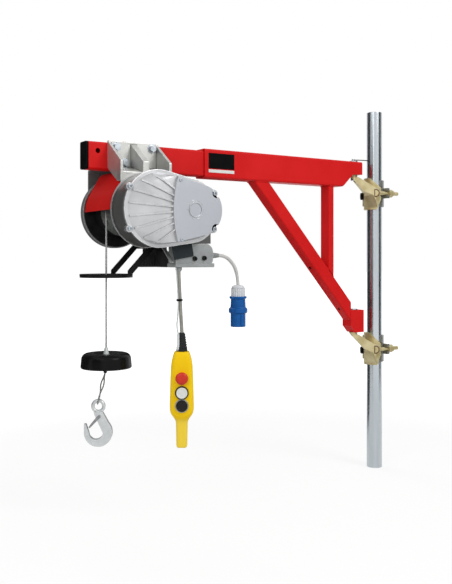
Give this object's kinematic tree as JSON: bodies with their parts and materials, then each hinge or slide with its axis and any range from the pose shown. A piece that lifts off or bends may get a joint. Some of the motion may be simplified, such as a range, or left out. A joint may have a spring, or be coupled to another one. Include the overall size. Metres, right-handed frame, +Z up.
{
  "type": "scaffold hoist",
  "caption": "Electric rope hoist on a telescopic swing jib clamped to a scaffold tube, with a drum, hook, limit lever, pendant control and inlet plug.",
  "frame": {"origin": "centre of the scaffold tube's lower end", "axes": "+Z up the scaffold tube, the jib runs towards -X at rest, the gear cover faces -Y"},
  "size_m": [1.059, 0.34, 1.133],
  "materials": {
    "galvanised_tube": "galvanised",
    "yellow_zinc": "yellow passivated casting",
    "zinc_flap": "zinc plated pressing",
    "red_paint": "gloss red enamel",
    "pin_steel": "machined steel",
    "cap_black": "moulded black",
    "cast_aluminium": "as cast",
    "dark_casting": "machined casting",
    "cover_aluminium": "blasted casting",
    "drum_steel": "steel with wound rope",
    "wire_rope": "galvanised strand",
    "bracket_grey": "dark grey paint",
    "box_grey": "moulded grey",
    "plate_dark": "dark moulding",
    "switch_black": "ribbed moulding",
    "lever_black": "black enamel",
    "weight_black": "satin moulded rubber",
    "hook_zinc": "zinc plated forging",
    "latch_steel": "spring steel",
    "pendant_yellow": "moulded yellow",
    "boot_black": "moulded rubber",
    "button_red": "moulded red",
    "button_white": "moulded white",
    "button_black": "moulded black",
    "cable_grey": "grey sheath",
    "cable_white": "white sheath",
    "plug_white": "moulded white",
    "plug_blue": "moulded blue"
  },
  "bodies": {
    "post": {"scaffold_tube": "galvanised_tube", "upper_coupler": "yellow_zinc", "upper_coupler_flap": "zinc_flap", "upper_coupler_bolt": "yellow_zinc", "lower_coupler": "yellow_zinc", "lower_coupler_flap": "zinc_flap", "lower_coupler_bolt": "yellow_zinc"},
    "jib": {"outer_arm": "red_paint", "brace": "red_paint", "strut": "red_paint", "lower_pivot_bush": "red_paint", "upper_pivot_pin": "pin_steel", "lower_pivot_pin": "pin_steel"},
    "hoist": {"inner_arm": "red_paint", "arm_end_cap": "cap_black", "gear_housing": "dark_casting", "gear_cover": "cover_aluminium", "hanger": "cast_aluminium", "rear_bracket": "bracket_grey", "drum_guard": "red_paint", "terminal_box": "box_grey", "box_plate": "plate_dark", "switch_box": "switch_black", "pendant_gland": "boot_black", "pendant_boot": "boot_black", "pendant_case": "pendant_yellow", "pendant_cable": "cable_grey", "power_inlet": "boot_black", "power_cable": "cable_white", "plug_nut": "plug_white", "plug_body": "plug_blue", "hoist_rope": "wire_rope"},
    "drum": {"rope_drum": "drum_steel"},
    "hook": {"rope_weight": "weight_black", "rope_link": "wire_rope", "load_hook": "hook_zinc"},
    "latch": {"hook_latch": "latch_steel"},
    "lever": {"limit_lever": "lever_black"},
    "stop": {"stop_button": "button_red"},
    "raise": {"raise_button": "button_white"},
    "lower": {"lower_button": "button_black"}
  },
  "joints": [
    {"name": "jib_swing", "type": "hinge", "parent": "post", "child": "jib", "pos_m": [-0.09, 0, 0.9], "axis": [0, 0, 1], "range_deg": [-90, 90]},
    {"name": "arm_slide", "type": "slide", "parent": "jib", "child": "hoist", "axis": [-1, 0, 0], "range_m": [-0.09, 0.15]},
    {"name": "drum_spin", "type": "hinge", "parent": "hoist", "child": "drum", "pos_m": [-0.87, 0, 0.788], "axis": [0, 1, 0], "range_deg": [-140, 172]},
    {"name": "hook_lift", "type": "slide", "parent": "hoist", "child": "hook", "axis": [0, 0, 1], "range_m": [-0.16, 0.19], "deforming": ["hoist_rope"]},
    {"name": "latch_swing", "type": "hinge", "parent": "hook", "child": "latch", "pos_m": [-0.94436, 0.008, 0.265], "axis": [-0.5, -0.866, 0], "range_deg": [0, 30], "stiffness_Nm_per_rad": 0.02, "springref_deg": -17.19},
    {"name": "limit_trip", "type": "hinge", "parent": "hoist", "child": "lever", "pos_m": [-0.826, 0, 0.697], "axis": [0, 1, 0], "range_deg": [0, 10], "stiffness_Nm_per_rad": 6, "springref_deg": -20.05},
    {"name": "stop_press", "type": "slide", "parent": "hoist", "child": "stop", "axis": [0.5, 0.866, 0], "range_m": [0, 0.004], "stiffness_N_per_m": 600, "springref_m": -0.002},
    {"name": "raise_press", "type": "slide", "parent": "hoist", "child": "raise", "axis": [0.5, 0.866, 0], "range_m": [0, 0.004], "stiffness_N_per_m": 600, "springref_m": -0.002},
    {"name": "lower_press", "type": "slide", "parent": "hoist", "child": "lower", "axis": [0.5, 0.866, 0], "range_m": [0, 0.004], "stiffness_N_per_m": 600, "springref_m": -0.002}
  ],
  "couplings": [
    {"joint": "hook_lift", "follows": "drum_spin", "m_per_rad": 0.0605}
  ]
}
